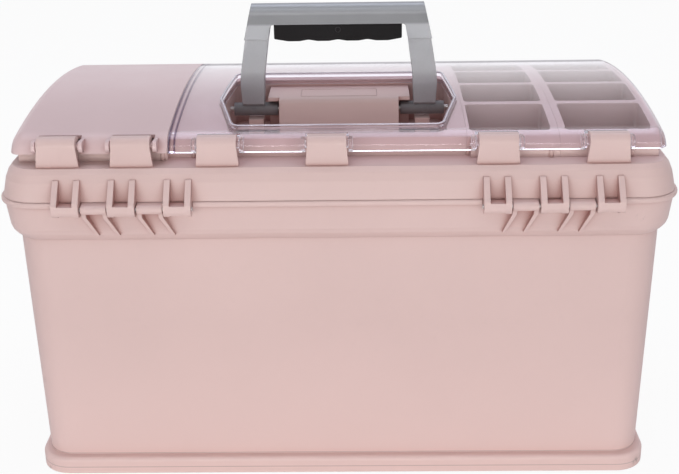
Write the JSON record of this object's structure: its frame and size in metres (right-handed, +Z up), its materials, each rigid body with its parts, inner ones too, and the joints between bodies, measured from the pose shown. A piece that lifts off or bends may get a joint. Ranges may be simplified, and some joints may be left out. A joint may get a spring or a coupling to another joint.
{
  "type": "three-drawer organizer",
  "caption": "Portable plastic organizer box with sliding drawers, hinged main lid over bulk storage, solid and clear top lids over compartments, and a folding carry handle.",
  "frame": {"origin": "centre of the case's footprint, on the surface it stands on", "axes": "+X across the case, towards the solid top lid; +Y to the hinge side, away from the drawers; +Z up"},
  "size_m": [0.502, 0.3008, 0.3518],
  "materials": {
    "body_plastic": "satin moulded, dusty pink",
    "clear_plastic": "clear moulded polystyrene",
    "handle_plastic": "satin metallic grey",
    "barrel_plastic": "satin dark grey",
    "grip_rubber": "matte black",
    "pin_steel": "drawn wire",
    "drawer_plastic": "satin moulded, dusty pink",
    "divider_plastic": "pale moulded"
  },
  "bodies": {
    "cabinet": {"base_cabinet": "body_plastic", "drawer_shelf_lower": "body_plastic", "drawer_shelf_upper": "body_plastic", "hinge_pin_left": "pin_steel", "hinge_pin_right": "pin_steel"},
    "main_lid": {"main_lid": "body_plastic", "cup_tray_inner": "body_plastic", "cup_tray_outer": "body_plastic", "handle_well": "body_plastic", "solid_lid_tray": "body_plastic", "handle_pin_left": "pin_steel", "handle_pin_right": "pin_steel", "latch_pin_left": "pin_steel", "latch_pin_right": "pin_steel"},
    "solid_top_lid": {"solid_top_lid": "body_plastic"},
    "clear_top_lid": {"clear_top_lid": "clear_plastic"},
    "handle": {"handle_bail": "handle_plastic", "handle_grip": "grip_rubber", "pivot_barrel_left": "barrel_plastic", "pivot_barrel_right": "barrel_plastic"},
    "latch_left": {"latch_left": "handle_plastic"},
    "latch_right": {"latch_right": "handle_plastic"},
    "drawer_lower": {"drawer_lower": "drawer_plastic", "lower_drawer_dividers": "divider_plastic"},
    "drawer_middle": {"drawer_middle": "drawer_plastic", "middle_drawer_dividers": "divider_plastic"},
    "drawer_upper": {"drawer_upper": "drawer_plastic", "upper_drawer_dividers": "divider_plastic"}
  },
  "joints": [
    {"name": "main_lid_hinge", "type": "hinge", "parent": "cabinet", "child": "main_lid", "pos_m": [0, 0.145, 0.2314], "axis": [-1, 0, 0], "range_deg": [0, 95]},
    {"name": "solid_top_lid_hinge", "type": "hinge", "parent": "main_lid", "child": "solid_top_lid", "pos_m": [0.1825, 0.121, 0.272], "axis": [-1, 0, 0], "range_deg": [0, 105]},
    {"name": "clear_top_lid_hinge", "type": "hinge", "parent": "main_lid", "child": "clear_top_lid", "pos_m": [-0.0585, 0.121, 0.272], "axis": [-1, 0, 0], "range_deg": [0, 105]},
    {"name": "handle_fold", "type": "hinge", "parent": "main_lid", "child": "handle", "pos_m": [0, 0, 0.2649], "axis": [-1, 0, 0], "range_deg": [0, 90]},
    {"name": "latch_left_hinge", "type": "hinge", "parent": "main_lid", "child": "latch_left", "pos_m": [0.118, -0.1456, 0.249], "axis": [-1, 0, 0], "range_deg": [0, 110]},
    {"name": "latch_right_hinge", "type": "hinge", "parent": "main_lid", "child": "latch_right", "pos_m": [-0.118, -0.1456, 0.249], "axis": [-1, 0, 0], "range_deg": [0, 110]},
    {"name": "drawer_lower_slide", "type": "slide", "parent": "cabinet", "child": "drawer_lower", "axis": [0, -1, 0], "range_m": [0, 0.186]},
    {"name": "drawer_middle_slide", "type": "slide", "parent": "cabinet", "child": "drawer_middle", "axis": [0, -1, 0], "range_m": [0, 0.186]},
    {"name": "drawer_upper_slide", "type": "slide", "parent": "cabinet", "child": "drawer_upper", "axis": [0, -1, 0], "range_m": [0, 0.186]}
  ]
}
